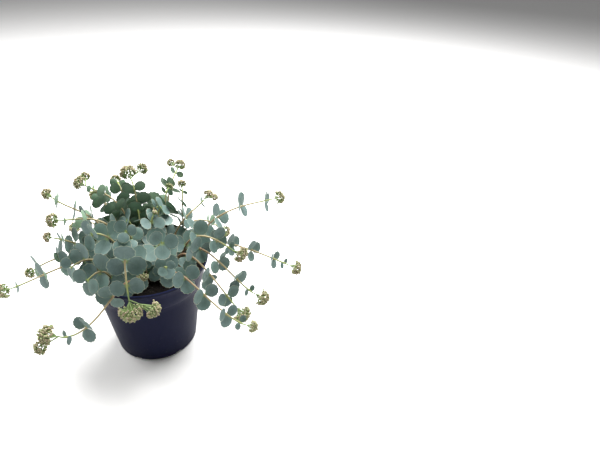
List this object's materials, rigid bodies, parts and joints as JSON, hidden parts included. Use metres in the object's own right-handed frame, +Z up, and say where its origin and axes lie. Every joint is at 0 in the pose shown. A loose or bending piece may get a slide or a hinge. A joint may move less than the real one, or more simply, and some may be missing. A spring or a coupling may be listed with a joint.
{
  "type": "potted sedum",
  "caption": "Nursery pot of compost planted with a bushy sedum, whose arching stems carry whorls of round scalloped leaves and end in domed bud clusters.",
  "frame": {"origin": "centre of the pot's foot, in the plane that the pot stands on", "axes": "+Z up along the pot's axis, +Y the way the picture looks, away from the viewer, +X to the viewer's right, along the plant's widest spread"},
  "size_m": [0.2791, 0.2192, 0.1795],
  "materials": {
    "pot_plastic": "satin dark navy injection-moulded plastic, with fine scuffs and dust",
    "compost": "damp crumbly peat compost with grit",
    "leaf": "waxy blue-green succulent leaf with a pale rosy margin",
    "bud": "matt pinkish tan flower buds on green stalks"
  },
  "bodies": {
    "root": {"pot": "pot_plastic", "soil": "compost", "stem_01": "leaf", "stem_02": "leaf", "stem_03": "leaf", "stem_04": "leaf", "stem_05": "leaf", "stem_06": "leaf", "stem_07": "leaf", "stem_08": "leaf", "stem_09": "leaf", "stem_10": "leaf", "stem_11": "leaf", "stem_12": "leaf", "stem_13": "leaf", "stem_14": "leaf", "stem_15": "leaf", "stem_16": "leaf", "stem_17": "leaf", "stem_18": "leaf", "stem_19": "leaf", "stem_20": "leaf", "stem_21": "leaf", "stem_22": "leaf", "stem_23": "leaf", "stem_24": "leaf", "stem_25": "leaf", "stem_26": "leaf", "stem_27": "leaf", "stem_28": "leaf", "stem_29": "leaf", "stem_30": "leaf", "stem_31": "leaf", "head_01": "bud", "head_02": "bud", "head_03": "bud", "head_04": "bud", "head_05": "bud", "head_06": "bud", "head_07": "bud", "head_08": "bud", "head_09": "bud", "head_10": "bud", "head_11": "bud", "head_12": "bud", "head_13": "bud", "head_14": "bud", "head_15": "bud", "head_16": "bud", "head_17": "bud", "head_18": "bud", "head_19": "bud", "head_20": "bud", "head_21": "bud", "head_22": "bud", "head_23": "bud", "head_24": "bud", "head_25": "bud", "head_26": "bud", "head_27": "bud"}
  },
  "joints": []
}
